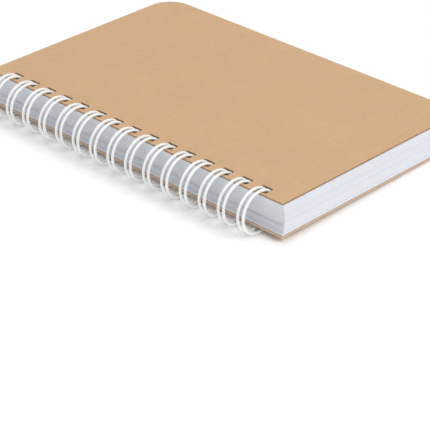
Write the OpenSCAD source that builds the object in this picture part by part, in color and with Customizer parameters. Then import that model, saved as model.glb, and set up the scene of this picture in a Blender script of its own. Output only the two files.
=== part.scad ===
// Pocket sketchbook with kraft board covers and a twin-loop wire binding.
//
// The wire's axis runs along Y and is the hinge of every leaf. The spine edge
// faces -X, the fore edge +X, and the front cover is on top. The book rests
// on the lowest point of the wire and on the fore edge of its back cover.

/* [Covers] */
// Height of the book, along the spine
book_height = 140; // [126:1:150]
// Width of each cover, from the spine edge to the fore edge
cover_width = 90; // [70:1:120]
// Thickness of the front cover board
front_thickness = 0.55; // [0.4:0.05:0.8]
// Thickness of the back cover board
back_thickness = 1.1; // [0.8:0.1:1.3]
// Radius of the two corners at the fore edge
fore_corner = 9.5; // [4:0.5:14]
// Radius of the two corners at the spine
spine_corner = 0.4; // [0.2:0.1:1.4]

/* [Sheets] */
// Number of paper sheets
sheet_count = 50; // [50]
// Thickness of one sheet
sheet_thickness = 0.2; // [0.15:0.01:0.2]
// Height of the whole block of sheets, with the air between them
block_height = 10.95; // [10.4:0.05:11]
// Width of a sheet
sheet_width = 89.5; // [70:0.5:119]

/* [Binding] */
// Number of wire loops along the spine
loop_count = 15; // [11:2:15]
// Distance from one loop to the next: three loops to the inch
loop_pitch = 8.466; // [8.4:0.002:8.5]
// Diameter of the coated wire
wire_diameter = 1; // [0.7:0.05:1]
// Diameter of the wire where it steps to the next loop, pressed a little
step_diameter = 0.8; // [0.6:0.05:0.8]
// Radius of a loop, measured to the middle of its wire
loop_radius = 7.35; // [7.3:0.01:7.4]
// Distance between the two wires of one loop
twin_spacing = 2.3; // [2:0.1:2.6]
// Length of a punched hole along the spine
hole_length = 4.3; // [4:0.1:5]
// Width of a punched hole in a sheet, across the spine
sheet_hole_width = 4.9; // [4.9:0.05:5]
// Width of a punched hole in the front cover
front_hole_width = 3.4; // [3.4:0.05:5]
// Width of a punched hole in the back cover
back_hole_width = 4; // [4:0.05:5]
// Paper left between the spine edge and a hole
hole_margin = 1.6; // [1.5:0.05:1.6]

/* [Rest] */
// Distance from the wire's axis to the spine edge of the covers
cover_gap = 0.45; // [0.4:0.05:0.6]
// How much further the middle sheets stand from the axis than the covers
spine_bow = 1.05; // [1.03:0.01:1.2]

/* [Hidden] */
function sheet_name(k) = str("sheet_", k < 10 ? "0" : "", k);

fine = 96;
wire_sides = 24;

// Heights are measured from the wire's axis, which runs through the middle
// of the book's thickness.
half_thickness = (front_thickness + block_height + back_thickness) / 2;
block_top = half_thickness - front_thickness;
sheet_step = block_height / sheet_count;
ring_outer = loop_radius + wire_diameter / 2;

// The angles where the wire's twin ends turn back and where its closed side
// steps to the next loop, both hidden under the back cover. They count up
// from the fore edge's direction, over the front cover and round the spine.
tip_angle = -50.5;
base_angle = 292;
base_setback = 4;

// Distance from the axis to the spine edge of a leaf at a given height. The
// wire holds the middle sheets further out than the covers.
function spine_edge(height) =
    cover_gap + spine_bow * (1 - pow(height / half_thickness, 2));

// Height of the middle of sheet number k, counted from the front cover.
function sheet_height(k) = block_top - (k - 0.5) * sheet_step;

// The tilt that brings the back cover's fore edge down to the level of the
// wire's lowest point.
corner_reach = norm([cover_gap + cover_width, half_thickness]);
lean = asin(ring_outer / corner_reach)
    - atan2(half_thickness, cover_gap + cover_width);

// How far the leaves reach from the axis along X, once tilted.
function reach(edge, top) = edge * cos(lean) + top * sin(lean);
book_reach = max(concat(
    [reach(cover_gap + cover_width, half_thickness)],
    [for (k = [1 : sheet_count]) reach(
        spine_edge(sheet_height(k)) + sheet_width,
        sheet_height(k) + sheet_thickness / 2)]));

// Puts the axis where the book's box is centred on the origin and stands on
// the ground plane.
module in_place() {
    translate([(ring_outer - book_reach) / 2, 0, ring_outer])
        rotate([0, lean, 0]) children();
}

module rounded_plate(width) {
    half = book_height / 2;
    translate([spine_corner, -half])
        square([width - spine_corner - fore_corner, book_height]);
    translate([0, spine_corner - half])
        square([spine_corner, book_height - 2 * spine_corner]);
    translate([width - fore_corner, fore_corner - half])
        square([fore_corner, book_height - 2 * fore_corner]);
    for (side = [-1, 1]) {
        translate([spine_corner, side * (half - spine_corner)])
            circle(spine_corner, $fn = fine);
        translate([width - fore_corner, side * (half - fore_corner)])
            circle(fore_corner, $fn = fine);
    }
}

module punched_holes(hole_width) {
    for (k = [0 : loop_count - 1])
        translate([hole_margin, (k - (loop_count - 1) / 2) * loop_pitch - hole_length / 2])
            square([hole_width, hole_length]);
}

// One leaf: a plate with rounded corners and a row of holes, from its spine
// edge outwards, with its underside at the given height.
module leaf(edge, underside, width, thickness, hole_width) {
    in_place() translate([edge, 0, underside])
        linear_extrude(thickness) difference() {
            rounded_plate(width);
            punched_holes(hole_width);
        }
}

module front_cover() {
    color("Tan")
        leaf(cover_gap, block_top, cover_width, front_thickness, front_hole_width);
}

module back_cover() {
    color("Tan")
        leaf(cover_gap, -half_thickness, cover_width, back_thickness, back_hole_width);
}

module sheet(k) {
    color("WhiteSmoke")
        leaf(spine_edge(sheet_height(k)), sheet_height(k) - sheet_thickness / 2,
            sheet_width, sheet_thickness, sheet_hole_width);
}

// Places a shape on the loop at an angle. The shape's X then runs along the
// spine, its Y along the loop, and its Z away from the axis.
module on_loop(angle) {
    rotate([90, 0, 0]) rotate([0, 0, angle]) translate([loop_radius, 0, 0])
        rotate([0, 90, 0]) children();
}

// Part of a ring of wire, turning about Z from one angle to another.
module wire_arc(radius, from, to) {
    rotate([0, 0, from]) rotate_extrude(angle = to - from, $fn = fine)
        translate([radius, 0]) circle(d = wire_diameter, $fn = wire_sides);
}

// One twin loop: two rings of wire, joined by a bend at their free end.
module twin_loop() {
    half = twin_spacing / 2;
    for (side = [-half, half])
        translate([0, side, 0]) rotate([90, 0, 0])
            wire_arc(loop_radius, tip_angle, base_angle);
    on_loop(tip_angle) wire_arc(half, 180, 360);
}

// The step from one twin loop to the next, on the wire's closed side. It
// runs from the middle of one wire to the middle of the other.
module base_step() {
    length = loop_pitch - twin_spacing;
    on_loop(base_angle - base_setback) translate([-length / 2, 0, 0])
        rotate([0, 90, 0]) cylinder(d = step_diameter, h = length, $fn = wire_sides);
}

module wire_binding() {
    first = -(loop_count - 1) / 2;
    color("White") in_place() {
        for (k = [0 : loop_count - 1])
            translate([0, (first + k) * loop_pitch, 0]) twin_loop();
        for (k = [0 : loop_count - 2])
            translate([0, (first + k + 0.5) * loop_pitch, 0]) base_step();
    }
}

front_cover();
for (k = [1 : sheet_count])
    sheet(k);
back_cover();
wire_binding();
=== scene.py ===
"""Looks of a wire-bound sketchbook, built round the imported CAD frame.

The spine runs along Y. The wire loops are on the -X side, the fore edge is at
+X, the tail at -Y and the head at +Y. A leaf is drawn in leaf coordinates: x
outwards from the wire's axis, y along the spine, z up from the axis, before
the book's small tilt. All lengths are in metres.
"""

import math
import random

import bpy
from mathutils import Matrix, Quaternion, Vector, geometry


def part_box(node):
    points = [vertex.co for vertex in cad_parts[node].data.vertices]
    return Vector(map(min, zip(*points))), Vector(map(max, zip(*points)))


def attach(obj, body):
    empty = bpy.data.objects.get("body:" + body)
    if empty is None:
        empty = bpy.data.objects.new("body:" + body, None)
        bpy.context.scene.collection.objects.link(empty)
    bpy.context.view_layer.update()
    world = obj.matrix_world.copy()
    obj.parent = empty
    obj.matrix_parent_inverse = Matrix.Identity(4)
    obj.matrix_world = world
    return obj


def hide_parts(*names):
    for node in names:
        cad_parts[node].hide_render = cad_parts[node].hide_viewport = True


MM = 0.001

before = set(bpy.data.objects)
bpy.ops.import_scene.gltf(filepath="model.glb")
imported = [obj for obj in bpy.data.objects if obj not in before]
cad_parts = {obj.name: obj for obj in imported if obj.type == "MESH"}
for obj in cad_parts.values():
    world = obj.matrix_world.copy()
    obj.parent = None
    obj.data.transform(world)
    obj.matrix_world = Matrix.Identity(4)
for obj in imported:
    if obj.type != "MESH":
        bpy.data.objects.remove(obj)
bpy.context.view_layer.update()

# ---------------------------------------------------------------- the design

BOOK_HEIGHT = 140 * MM
COVER_WIDTH = 90 * MM
FRONT_THICKNESS = 0.55 * MM
BACK_THICKNESS = 1.1 * MM
FORE_CORNER = 9.5 * MM
SPINE_CORNER = 0.4 * MM

SHEET_COUNT = 50
SHEET_THICKNESS = 0.19 * MM  # a little under the CAD sheet, to show a line between sheets
BLOCK_HEIGHT = 10.95 * MM
SHEET_WIDTH = 89.5 * MM

LOOP_COUNT = 15
LOOP_PITCH = 8.466 * MM
WIRE_DIAMETER = 1.0 * MM
TWIN_SPACING = 2.3 * MM
HOLE_LENGTH = 4.3 * MM
SHEET_HOLE_WIDTH = 4.9 * MM
FRONT_HOLE_WIDTH = 3.4 * MM
BACK_HOLE_WIDTH = 4.0 * MM
HOLE_MARGIN = 1.6 * MM
HOLE_CORNER = 0.35 * MM
BOARD_RIM = 0.14 * MM
TIP_ANGLE = math.radians(-50.5)
STEP_ANGLE = math.radians(288)
END_ANGLE = math.radians(292)

COVER_GAP = 0.45 * MM
SPINE_BOW = 1.05 * MM

# The wire's box gives its axis and size, and the tilt follows from them.
wire_low, wire_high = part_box("wire_binding")
RING_OUTER = (wire_high.z - wire_low.z) / 2
LOOP_RADIUS = RING_OUTER - WIRE_DIAMETER / 2
AXIS = Vector((wire_low.x + RING_OUTER, 0, wire_low.z + RING_OUTER))
HALF_THICKNESS = (FRONT_THICKNESS + BLOCK_HEIGHT + BACK_THICKNESS) / 2
BLOCK_TOP = HALF_THICKNESS - FRONT_THICKNESS
corner_reach = math.hypot(COVER_GAP + COVER_WIDTH, HALF_THICKNESS)
LEAN = math.asin(RING_OUTER / corner_reach)
LEAN -= math.atan2(HALF_THICKNESS, COVER_GAP + COVER_WIDTH)
IN_PLACE = Matrix.Translation(AXIS) @ Matrix.Rotation(LEAN, 4, "Y")


def spine_edge(height):
    """Distance from the wire's axis to a leaf's spine edge."""
    return COVER_GAP + SPINE_BOW * (1 - (height / HALF_THICKNESS) ** 2)


def sheet_height(number):
    """Height of the middle of a sheet, counted from the front cover."""
    return BLOCK_TOP - (number - 0.5) * BLOCK_HEIGHT / SHEET_COUNT


# ------------------------------------------------------------- node helpers


class Graph:
    """A short way to write a material's nodes."""

    def __init__(self, name, roughness, **sockets):
        self.material = bpy.data.materials.new(name)
        self.material.use_nodes = True
        self.tree = self.material.node_tree
        self.shader = self.tree.nodes["Principled BSDF"]
        self.shader.inputs["Roughness"].default_value = roughness
        for socket, value in sockets.items():
            self.shader.inputs[socket.replace("_", " ")].default_value = value
        self.place = self.add("ShaderNodeTexCoord").outputs["Object"]

    def add(self, kind, **settings):
        node = self.tree.nodes.new(kind)
        for key, value in settings.items():
            setattr(node, key, value)
        return node

    def feed(self, node, socket, value):
        """Links a socket to another node's output, or sets it to a value."""
        target = node.inputs[socket]
        if isinstance(value, bpy.types.NodeSocket):
            self.tree.links.new(value, target)
        else:
            target.default_value = value

    def stretched(self, scale, turn=0.0):
        """Object coordinates with each axis scaled and turned about Z."""
        node = self.add("ShaderNodeMapping")
        self.feed(node, "Vector", self.place)
        node.inputs["Rotation"].default_value = (0, 0, math.radians(turn))
        node.inputs["Scale"].default_value = scale
        return node.outputs["Vector"]

    def noise(self, size, detail=3.0, vector=None, distortion=0.0):
        """Noise from 0 to 1, with features about this many metres across."""
        node = self.add("ShaderNodeTexNoise")
        self.feed(node, "Vector", vector or self.place)
        self.feed(node, "Scale", 1 / size if vector is None else 1.0)
        self.feed(node, "Detail", detail)
        self.feed(node, "Distortion", distortion)
        return node.outputs["Fac"]

    def math(self, operation, a, b=0.0, clamp=False):
        node = self.add("ShaderNodeMath", operation=operation, use_clamp=clamp)
        self.feed(node, 0, a)
        self.feed(node, 1, b)
        return node.outputs[0]

    def ranged(self, value, low, high, to_low=0.0, to_high=1.0):
        """Maps low..high to to_low..to_high, and stops at both ends."""
        node = self.add("ShaderNodeMapRange")
        self.feed(node, "Value", value)
        for socket, number in zip(
            ("From Min", "From Max", "To Min", "To Max"), (low, high, to_low, to_high)
        ):
            self.feed(node, socket, number)
        return node.outputs["Result"]

    def mix(self, share, a, b, blend="MIX"):
        node = self.add("ShaderNodeMix", data_type="RGBA", blend_type=blend)
        self.feed(node, 0, share)
        self.feed(node, 6, a)
        self.feed(node, 7, b)
        return node.outputs[2]

    def shade(self, colour, amount):
        """A fixed colour times a number that changes over the surface."""
        node = self.add("ShaderNodeVectorMath", operation="SCALE")
        self.feed(node, 0, colour[:3])
        self.feed(node, "Scale", amount)
        return node.outputs[0]

    def bump(self, height, depth, strength=1.0):
        node = self.add("ShaderNodeBump")
        self.feed(node, "Height", height)
        self.feed(node, "Distance", depth)
        self.feed(node, "Strength", strength)
        self.feed(self.shader, "Normal", node.outputs["Normal"])

    def paint(self, colour, roughness=None):
        self.feed(self.shader, "Base Color", colour)
        if roughness is not None:
            self.feed(self.shader, "Roughness", roughness)
        return self.material


# ---------------------------------------------------------------- materials

KRAFT = (0.614, 0.404, 0.231, 1)
KRAFT_PALE = (0.62, 0.44, 0.30, 1)
# The two rim colours: partly the board's darker cut edge, partly painted shade of the
# shadow lines along the boards' edges.
KRAFT_DARK = (0.33, 0.19, 0.085, 1)
KRAFT_RIM_DARK_AND_SHADE = (0.27, 0.155, 0.08, 1)
KRAFT_RIM_PALER_AND_SHADE = (0.42, 0.265, 0.15, 1)
PAPER = (0.75, 0.772, 0.818, 1)
WIRE_WHITE = (0.90, 0.91, 0.90, 1)


def kraft_tone(graph):
    """The board's clouding and fibres, as a number near 1."""
    clouds = graph.ranged(graph.noise(14 * MM, 2), 0.3, 0.7, -0.020, 0.020)
    mottle = graph.ranged(graph.noise(2.2 * MM, 4), 0.3, 0.7, -0.030, 0.030)
    tone = graph.math("ADD", clouds, mottle)
    fibres = None
    for turn in (12, 67, 128):
        vector = graph.stretched((1 / (1.6 * MM), 1 / (0.16 * MM), 400), turn)
        strand = graph.noise(1, 2, vector, 0.8)
        fibres = strand if fibres is None else graph.math("MAXIMUM", fibres, strand)
    tone = graph.math("ADD", tone, graph.ranged(fibres, 0.5, 0.85, -0.015, 0.065))
    return graph.math("ADD", tone, 1.0), fibres


def kraft_specks(graph, spacing, radius, share):
    """Dark flecks of bark: 1 inside a fleck, 0 elsewhere."""
    node = graph.add("ShaderNodeTexVoronoi")
    graph.feed(node, "Vector", graph.place)
    graph.feed(node, "Scale", 1 / spacing)
    edge = radius / spacing
    inside = graph.ranged(node.outputs["Distance"], edge, edge * 0.6)
    chosen = graph.add("ShaderNodeSeparateColor")
    graph.feed(chosen, 0, node.outputs["Color"])
    kept = graph.math("LESS_THAN", chosen.outputs[0], share)
    return graph.math("MULTIPLY", inside, kept)


def kraft_face():
    """The flat of the covers: matt kraft board with fibres and a few flecks."""
    graph = Graph("kraft_face", 0.82, Specular_IOR_Level=0.25)
    tone, fibres = kraft_tone(graph)
    colour = graph.shade(KRAFT, tone)
    flecks = graph.math(
        "MAXIMUM",
        kraft_specks(graph, 7 * MM, 0.22 * MM, 0.16),
        kraft_specks(graph, 2.6 * MM, 0.09 * MM, 0.22),
    )
    colour = graph.mix(graph.math("MULTIPLY", flecks, 0.55), colour, KRAFT_DARK)
    grain = graph.math("ADD", fibres, graph.noise(0.12 * MM, 3))
    graph.bump(grain, 0.03 * MM, 0.35)
    rough = graph.ranged(fibres, 0.4, 0.8, 0.78, 0.9)
    return graph.paint(colour, rough)


def kraft_cut():
    """The cut edge of a cover: paler pulp in thin layers."""
    graph = Graph("kraft_cut", 0.9, Specular_IOR_Level=0.2)
    layers = graph.noise(1, 3, graph.stretched((250, 250, 1 / (0.12 * MM))))
    tone = graph.ranged(layers, 0.3, 0.7, 0.88, 1.08)
    colour = graph.shade(KRAFT_PALE, tone)
    graph.bump(layers, 0.03 * MM, 0.5)
    return graph.paint(colour)


def kraft_rim_dark_and_shade():
    """The board's rim, darker than the face: partly the board's own darker cut and partly
    painted shade of the thin shadow lines along the edges.
    """
    graph = Graph("kraft_rim_dark_and_shade", 0.75, Specular_IOR_Level=0.3)
    rim_patches = graph.ranged(graph.noise(1.1 * MM, 4), 0.35, 0.75)
    colour = graph.mix(rim_patches, KRAFT_RIM_DARK_AND_SHADE, KRAFT_RIM_PALER_AND_SHADE)
    graph.bump(graph.noise(0.1 * MM, 2), 0.02 * MM, 0.4)
    return graph.paint(colour)


def paper_face():
    """Drawing paper: near white, with a fine tooth."""
    graph = Graph("paper_face", 0.92, Specular_IOR_Level=0.2)
    tone = graph.ranged(graph.noise(3 * MM, 4), 0.3, 0.7, 0.985, 1.01)
    colour = graph.shade(PAPER, tone)
    tooth = graph.math("ADD", graph.noise(0.25 * MM, 3), graph.noise(0.9 * MM, 2))
    graph.bump(tooth, 0.02 * MM, 0.4)
    return graph.paint(colour)


def paper_cut():
    """The cut edges of the sheets, each a little lighter or darker."""
    graph = Graph("paper_cut", 0.95, Specular_IOR_Level=0.1)
    sheet = graph.add("ShaderNodeObjectInfo").outputs["Random"]
    tone = graph.ranged(sheet, 0, 1, 0.94, 1.03)
    streak = graph.noise(1, 2, graph.stretched((300, 300, 1 / (0.1 * MM))))
    tone = graph.math("MULTIPLY", tone, graph.ranged(streak, 0.3, 0.7, 0.975, 1.02))
    colour = graph.shade(PAPER, tone)
    graph.bump(streak, 0.02 * MM, 0.3)
    return graph.paint(colour)


def wire_coat():
    """White nylon coating, smooth and a little uneven."""
    graph = Graph("wire_coat", 0.24, Specular_IOR_Level=0.5, Coat_Weight=0.25)
    uneven = graph.noise(0.7 * MM, 2)
    tone = graph.ranged(graph.noise(4 * MM, 2), 0.3, 0.7, 0.98, 1.0)
    colour = graph.shade(WIRE_WHITE, tone)
    graph.bump(uneven, 0.01 * MM, 0.25)
    return graph.paint(colour, graph.ranged(uneven, 0.3, 0.7, 0.2, 0.3))


# ------------------------------------------------------------------- leaves

FIELD_SPACING = 8 * MM
HOLE_SPACING = 10 * MM
HOLE_ARC_STEPS = 4
BOARD_ARC_STEPS = 16
SHEET_ARC_STEPS = 12


def rounded_loop(low, high, radii, grow, arc_steps, spacing):
    """A rounded rectangle, anticlockwise from its lower left corner.

    radii has one radius for the low-x corners and one for the high-x
    corners. grow moves every point outwards, and keeps their number.
    """
    corners = [
        (low[0], low[1], 1, 1, 180),
        (high[0], low[1], -1, 1, 270),
        (high[0], high[1], -1, -1, 0),
        (low[0], high[1], 1, -1, 90),
    ]
    arcs = []
    for x, y, inward_x, inward_y, start in corners:
        radius = radii[0] if inward_x > 0 else radii[1]
        centre = Vector((x + inward_x * radius, y + inward_y * radius))
        turns = [start + 90 * step / arc_steps for step in range(arc_steps + 1)]
        arcs.append([(centre, radius, math.radians(turn)) for turn in turns])

    def point(spot, extra):
        centre, radius, angle = spot
        reach = radius + extra
        return centre + Vector((math.cos(angle), math.sin(angle))) * reach

    points = []
    for arc, following in zip(arcs, arcs[1:] + arcs[:1]):
        points += [point(spot, grow) for spot in arc]
        length = (point(following[0], 0) - point(arc[-1], 0)).length
        parts = max(1, round(length / spacing))
        start, end = point(arc[-1], grow), point(following[0], grow)
        points += [start.lerp(end, part / parts) for part in range(1, parts)]
    return points


def leaf_loops(width, hole_width, inset, arc_steps):
    """The outline of a leaf and its holes, with every edge set back by inset."""
    half = BOOK_HEIGHT / 2
    loops = [
        rounded_loop(
            (0, -half),
            (width, half),
            (SPINE_CORNER, FORE_CORNER),
            -inset,
            arc_steps,
            FIELD_SPACING,
        )
    ]
    for number in range(LOOP_COUNT):
        middle = (number - (LOOP_COUNT - 1) / 2) * LOOP_PITCH
        low = (HOLE_MARGIN, middle - HOLE_LENGTH / 2)
        high = (HOLE_MARGIN + hole_width, middle + HOLE_LENGTH / 2)
        corners = (HOLE_CORNER, HOLE_CORNER)
        loops.append(
            rounded_loop(low, high, corners, inset, HOLE_ARC_STEPS, HOLE_SPACING)
        )
    return loops


def field_points(width):
    """Points inside a leaf, clear of its outline, that even out its triangles."""
    half = BOOK_HEIGHT / 2
    clear = 2 * MM
    rows = int(half / FIELD_SPACING)
    points = []
    for column in range(1, int(width / FIELD_SPACING) + 1):
        for row in range(-rows, rows + 1):
            x, y = column * FIELD_SPACING + clear, row * FIELD_SPACING
            beyond_x = max(0, x - (width - FORE_CORNER))
            beyond_y = max(0, abs(y) - (half - FORE_CORNER))
            if math.hypot(beyond_x, beyond_y) < FORE_CORNER - clear:
                points.append(Vector((x, y)))
    return points


class LeafPlan:
    """One flat leaf's triangles, worked out once for all leaves of its kind."""

    def __init__(self, width, hole_width, inset, arc_steps):
        self.width, self.hole_width, self.arc_steps = width, hole_width, arc_steps
        self.loops = leaf_loops(width, hole_width, inset, arc_steps)
        self.field = field_points(width)
        flat = [point for loop in self.loops for point in loop]
        edges, owner, start = [], [], 0
        for number, loop in enumerate(self.loops):
            count = len(loop)
            edges += [(start + i, start + (i + 1) % count) for i in range(count)]
            owner += [number] * count
            start += count
        owner += [0] * len(self.field)
        self.edges = edges
        self.rim_count = len(flat)
        # Triangulated in millimetres, where the tolerance is small enough.
        spots = [point / MM for point in flat + self.field]
        found = geometry.delaunay_2d_cdt(spots, edges, [], 2, 1e-5)
        source = [origins[0] for origins in found[3]]
        found_faces = [tuple(source[i] for i in face) for face in found[2]]
        # A triangle with all its corners on one hole's rim lies in that hole.
        self.triangles = [
            face
            for face in found_faces
            if owner[face[0]] == 0 or len({owner[i] for i in face}) > 1
        ]


def leaf_piece(name, plan, profile, shift, height, materials):
    """A leaf as one closed mesh.

    profile lists (inset, z) from the top face's rim down to the bottom's.
    shift moves the leaf along x and y in leaf coordinates, and height lifts it.
    """
    verts = []

    def put(point, z):
        x, y = point.x + shift[0], point.y + shift[1]
        verts.append(IN_PLACE @ Vector((x, y, height + z)))

    rings = []
    for inset, z in profile:
        rings.append(len(verts))
        for loop in leaf_loops(plan.width, plan.hole_width, inset, plan.arc_steps):
            for point in loop:
                put(point, z)
    top_field = len(verts)
    for point in plan.field:
        put(point, profile[0][1])
    bottom_field = len(verts)
    for point in plan.field:
        put(point, profile[-1][1])

    def corner(index, ring, field):
        if index < plan.rim_count:
            return ring + index
        return field + index - plan.rim_count

    faces, slots = [], []
    for triangle in plan.triangles:
        faces.append([corner(i, rings[0], top_field) for i in triangle])
        faces.append([corner(i, rings[-1], bottom_field) for i in triangle[::-1]])
        slots += [0, 0]
    bands = len(rings) - 1
    for band in range(bands):
        upper, lower = rings[band], rings[band + 1]
        cut = 1 if band == bands // 2 else 2
        for a, b in plan.edges:
            # Holes run anticlockwise too, so their walls face the other way.
            wall = [upper + a, lower + a, lower + b, upper + b]
            inner = a >= len(plan.loops[0])
            faces.append(wall[::-1] if inner else wall)
            slots.append(cut)
    return mesh_piece(name, verts, faces, slots, materials)


def mesh_piece(name, verts, faces, slots, materials, sharp=math.radians(30)):
    mesh = bpy.data.meshes.new(name)
    mesh.from_pydata(verts, [], faces)
    mesh.polygons.foreach_set("material_index", slots)
    for material in materials:
        mesh.materials.append(material)
    mesh.shade_smooth()
    mesh.set_sharp_from_angle(angle=sharp)
    mesh.update()
    piece = bpy.data.objects.new(name, mesh)
    bpy.context.scene.collection.objects.link(piece)
    return piece


def board_profile(thickness):
    """A cover board's edge: a straight cut with a pressed rim on both sides."""
    half, rim = thickness / 2, BOARD_RIM
    return [(rim, half), (0, half - rim), (0, rim - half), (rim, -half)]


def build_covers():
    face, cut, rim = kraft_face(), kraft_cut(), kraft_rim_dark_and_shade()
    # The thin front board's whole edge is dark, the thick back board's only at its rims;
    # this dark is partly the board's own darker cut and partly painted shade of the thin
    # shadow lines along the edges.
    for name, thickness, middle, hole_width, materials in (
        (
            "front_cover",
            FRONT_THICKNESS,
            HALF_THICKNESS - FRONT_THICKNESS / 2,
            FRONT_HOLE_WIDTH,
            [face, rim, rim],
        ),
        (
            "back_cover",
            BACK_THICKNESS,
            BACK_THICKNESS / 2 - HALF_THICKNESS,
            BACK_HOLE_WIDTH,
            [face, cut, rim],
        ),
    ):
        board = leaf_piece(
            f"{name}_board",
            LeafPlan(COVER_WIDTH, hole_width, BOARD_RIM, BOARD_ARC_STEPS),
            board_profile(thickness),
            (COVER_GAP, 0),
            middle,
            materials,
        )
        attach(board, name)
        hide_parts(name)


# How far sheets stray from their line, and how far the last two are set back.
FLUSH = 0.02 * MM
LOOSE = 0.09 * MM
FIRST_LOOSE_SHEET = 34
LAST_SHEETS_SHIFT = -0.28 * MM


def sheet_shift(number, chance):
    """How far a sheet lies out of line: the lower ones lie less flush."""
    shift_x = chance.gauss(0, FLUSH if number < FIRST_LOOSE_SHEET else LOOSE)
    if number >= SHEET_COUNT - 1:
        shift_x = LAST_SHEETS_SHIFT
    return shift_x, chance.gauss(0, FLUSH)


def build_sheets():
    chance = random.Random(7)
    materials = [paper_face(), paper_cut()]
    plan = LeafPlan(SHEET_WIDTH, SHEET_HOLE_WIDTH, 0, SHEET_ARC_STEPS)
    half = SHEET_THICKNESS / 2
    for number in range(1, SHEET_COUNT + 1):
        height = sheet_height(number)
        shift_x, shift_y = sheet_shift(number, chance)
        node = f"sheet_{number:02d}"
        paper = leaf_piece(
            f"paper_{node}",
            plan,
            [(0, half), (0, -half)],
            (spine_edge(height) + shift_x, shift_y),
            height,
            materials,
        )
        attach(paper, node)
        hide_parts(node)


# --------------------------------------------------------------------- wire

WIRE_SIDES = 12
TURN_STEP = math.radians(4)
BEND_RADIUS = 0.95 * MM
BEND_STEPS = 6
TIP_STEPS = 12


def wire_route():
    """The wire's centreline as (y, angle) points on the loops' cylinder.

    It is one wire: up one side of a twin loop, round its tip, down the other
    side, and along the closed side to the next loop.
    """
    half = TWIN_SPACING / 2
    bend = BEND_RADIUS
    bend_angle = bend / LOOP_RADIUS
    tip_reach = half / LOOP_RADIUS
    steps = round((STEP_ANGLE - bend_angle - TIP_ANGLE) / TURN_STEP)
    bent = STEP_ANGLE - bend_angle
    rise = [bent + (TIP_ANGLE - bent) * i / steps for i in range(steps + 1)]
    route = []
    for number in range(LOOP_COUNT):
        middle = (number - (LOOP_COUNT - 1) / 2) * LOOP_PITCH
        near, far = middle - half, middle + half
        if number == 0:
            route += [(near, END_ANGLE), (near, (END_ANGLE + bent) / 2)]
        else:
            # The last point of this bend is the first of the rise.
            for i in range(1, BEND_STEPS):
                turn = math.pi / 2 * i / BEND_STEPS
                y = near - bend + bend * math.sin(turn)
                route.append((y, bent + bend_angle * math.cos(turn)))
        route += [(near, angle) for angle in rise]
        for i in range(1, TIP_STEPS):
            turn = math.pi * i / TIP_STEPS
            y = middle - half * math.cos(turn)
            route.append((y, TIP_ANGLE - tip_reach * math.sin(turn)))
        route += [(far, angle) for angle in reversed(rise)]
        if number == LOOP_COUNT - 1:
            route += [(far, (END_ANGLE + bent) / 2), (far, END_ANGLE)]
        else:
            for i in range(1, BEND_STEPS + 1):
                turn = math.pi / 2 * i / BEND_STEPS
                y = far + bend - bend * math.cos(turn)
                route.append((y, bent + bend_angle * math.sin(turn)))
    return route


def build_wire():
    route = wire_route()

    def outward(angle):
        return Vector((math.cos(angle), 0, math.sin(angle)))

    centres = [outward(a) * LOOP_RADIUS + Vector((0, y, 0)) for y, a in route]
    verts, faces = [], []
    radius = WIRE_DIAMETER / 2
    last = len(route) - 1
    sections = []
    for i, (_, angle) in enumerate(route):
        along = (centres[min(i + 1, last)] - centres[max(i - 1, 0)]).normalized()
        sections.append((centres[i], along, outward(angle), radius))
    # Both ends are rounded off a little by the coating.
    cap_length = radius * 0.6
    for at, way in ((0, -1), (last, 1)):
        centre, along, out, _ = sections[at]
        for share in (0.6, 0.9):
            size = radius * math.sqrt(1 - share**2)
            cap = (centre + along * way * cap_length * share, along, out, size)
            if way < 0:
                sections.insert(0, cap)
            else:
                sections.append(cap)
    for centre, along, out, size in sections:
        side = along.cross(out).normalized()
        out = side.cross(along).normalized()
        for k in range(WIRE_SIDES):
            turn = 2 * math.pi * k / WIRE_SIDES
            offset = out * math.cos(turn) + side * math.sin(turn)
            verts.append(IN_PLACE @ (centre + offset * size))
    for i in range(len(sections) - 1):
        a, b = i * WIRE_SIDES, (i + 1) * WIRE_SIDES
        for k in range(WIRE_SIDES):
            n = (k + 1) % WIRE_SIDES
            faces.append([a + k, a + n, b + n, b + k])
    end = (len(sections) - 1) * WIRE_SIDES
    faces.append(list(range(WIRE_SIDES))[::-1])
    faces.append([end + k for k in range(WIRE_SIDES)])
    slots = [0] * len(faces)
    wire = mesh_piece("twin_loop_wire", verts, faces, slots, [wire_coat()])
    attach(wire, "wire_binding")
    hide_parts("wire_binding")


# --------------------------------------------------------- floor and lights


def build_floor():
    mesh = bpy.data.meshes.new("floor")
    reach = 6.0
    signs = ((-1, -1), (1, -1), (1, 1), (-1, 1))
    corners = [(reach * x, reach * y, 0) for x, y in signs]
    mesh.from_pydata(corners, [], [(0, 1, 2, 3)])
    graph = Graph("floor_white", 1.0, Specular_IOR_Level=0.0)
    mesh.materials.append(graph.paint((1.0, 1.0, 1.0, 1)))
    floor = bpy.data.objects.new("floor", mesh)
    bpy.context.scene.collection.objects.link(floor)


def softbox(name, direction, distance, size, power):
    light = bpy.data.lights.new(name, "AREA")
    light.shape = "DISK"
    light.size, light.energy = size, power
    lamp = bpy.data.objects.new(name, light)
    way = Vector(direction).normalized()
    lamp.location = way * distance
    lamp.rotation_mode = "QUATERNION"
    lamp.rotation_quaternion = way.to_track_quat("Z", "Y")
    bpy.context.scene.collection.objects.link(lamp)


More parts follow.
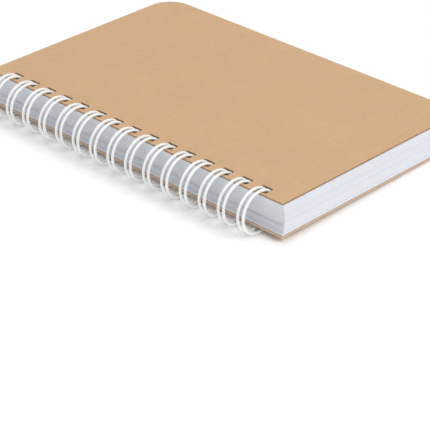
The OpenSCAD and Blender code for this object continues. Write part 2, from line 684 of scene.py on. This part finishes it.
def build_lights():
    world = bpy.data.worlds.new("studio")
    bpy.context.scene.world = world
    world.use_nodes = True
    nodes, links = world.node_tree.nodes, world.node_tree.links
    background = nodes["Background"]
    background.inputs["Color"].default_value = (1, 1, 1, 1)
    seen = nodes.new("ShaderNodeLightPath").outputs["Is Camera Ray"]
    level = nodes.new("ShaderNodeMapRange")
    # The background fills the view as pure white, but lights the book less.
    level.inputs["To Min"].default_value = 0.42
    level.inputs["To Max"].default_value = 1.0
    links.new(seen, level.inputs["Value"])
    links.new(level.outputs["Result"], background.inputs["Strength"])
    softbox("key", (0.25, -1.0, 0.95), 2.8, 2.0, 40)
    softbox("top", (0.1, 0.15, 1.0), 2.6, 2.4, 22)
    softbox("side", (-1.0, -0.25, 0.35), 2.4, 1.6, 8.5)


# ------------------------------------------------------------------- camera

# The camera looks down on the tail and spine corner of the book, from a
# little under the diagonal, with a long lens.
CAMERA_AZIMUTH = math.radians(-45.71)
CAMERA_ELEVATION = math.radians(30.2)
CAMERA_ROLL = math.radians(-0.66)
CAMERA_DISTANCE = 634.6 * MM
CAMERA_LENS = 164.95
SENSOR_WIDTH = 36
AIM = Vector((AXIS.x - 1.16 * MM, -42.17 * MM, 0))


def build_camera():
    data = bpy.data.cameras.new("camera")
    data.sensor_width = SENSOR_WIDTH
    data.lens = CAMERA_LENS
    data.clip_start, data.clip_end = 0.05, 50
    camera = bpy.data.objects.new("camera", data)
    level = math.cos(CAMERA_ELEVATION)
    back = Vector(
        (
            math.sin(CAMERA_AZIMUTH) * level,
            -math.cos(CAMERA_AZIMUTH) * level,
            math.sin(CAMERA_ELEVATION),
        )
    )
    camera.location = AIM + back * CAMERA_DISTANCE
    camera.rotation_mode = "QUATERNION"
    roll = Quaternion((0, 0, 1), CAMERA_ROLL)
    camera.rotation_quaternion = (-back).to_track_quat("-Z", "Y") @ roll
    bpy.context.scene.collection.objects.link(camera)
    bpy.context.scene.camera = camera


bpy.context.scene.view_settings.view_transform = "Standard"
build_camera()
build_covers()
build_sheets()
build_wire()
build_floor()
build_lights()
